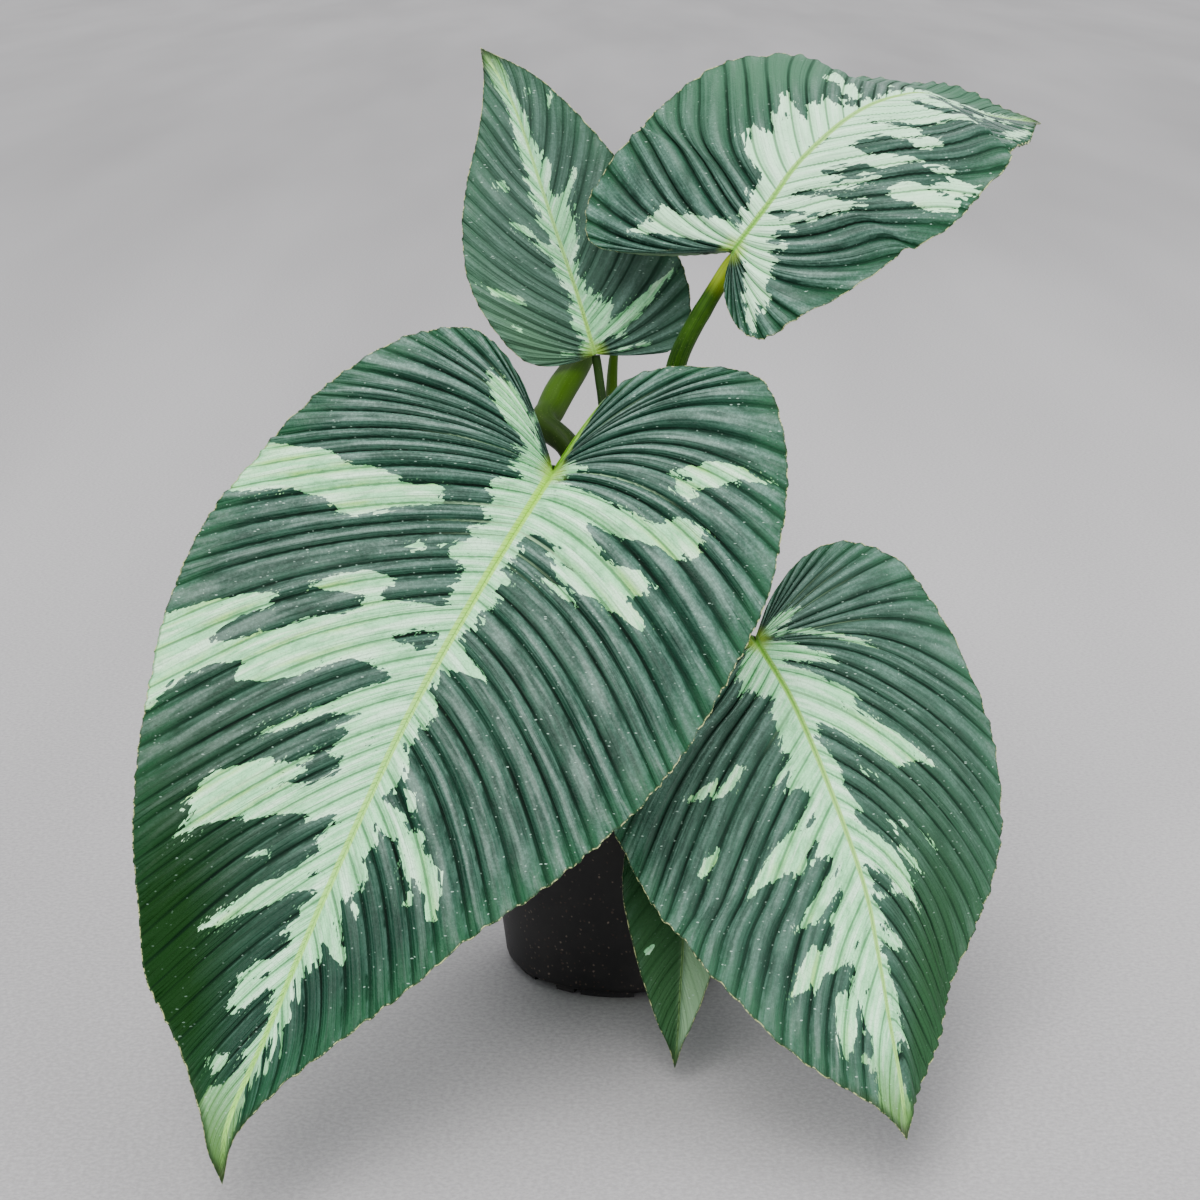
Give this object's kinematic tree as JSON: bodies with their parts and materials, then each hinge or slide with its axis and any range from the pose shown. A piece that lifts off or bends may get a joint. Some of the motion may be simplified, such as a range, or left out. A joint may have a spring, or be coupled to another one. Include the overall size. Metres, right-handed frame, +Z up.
{
  "type": "potted schismatoglottis pusilla",
  "caption": "Aroid house plant with variegated heart-shaped pleated leaves, rolled young leaves and arching petioles rising from the soil of a round thin-walled pot.",
  "frame": {"origin": "middle of the flat pad under the pot, on the surface that the pot stands on", "axes": "+Z up through the middle of the pot; the two big hanging blades face -Y; +X is to the right of a viewer who looks along +Y"},
  "size_m": [0.3389, 0.329, 0.3551],
  "materials": {
    "pot_plastic": "satin",
    "peat": "matte",
    "blade_green": "satin",
    "stem_green": "satin"
  },
  "bodies": {
    "root": {"pot": "pot_plastic", "soil": "peat", "blade_a": "blade_green", "blade_b": "blade_green", "blade_c": "blade_green", "blade_d": "blade_green", "blade_e": "blade_green", "petiole_a": "stem_green", "petiole_b": "stem_green", "petiole_c": "stem_green", "petiole_d": "stem_green", "petiole_e": "stem_green", "young_leaf_front": "stem_green", "young_leaf_back": "stem_green"}
  },
  "joints": []
}
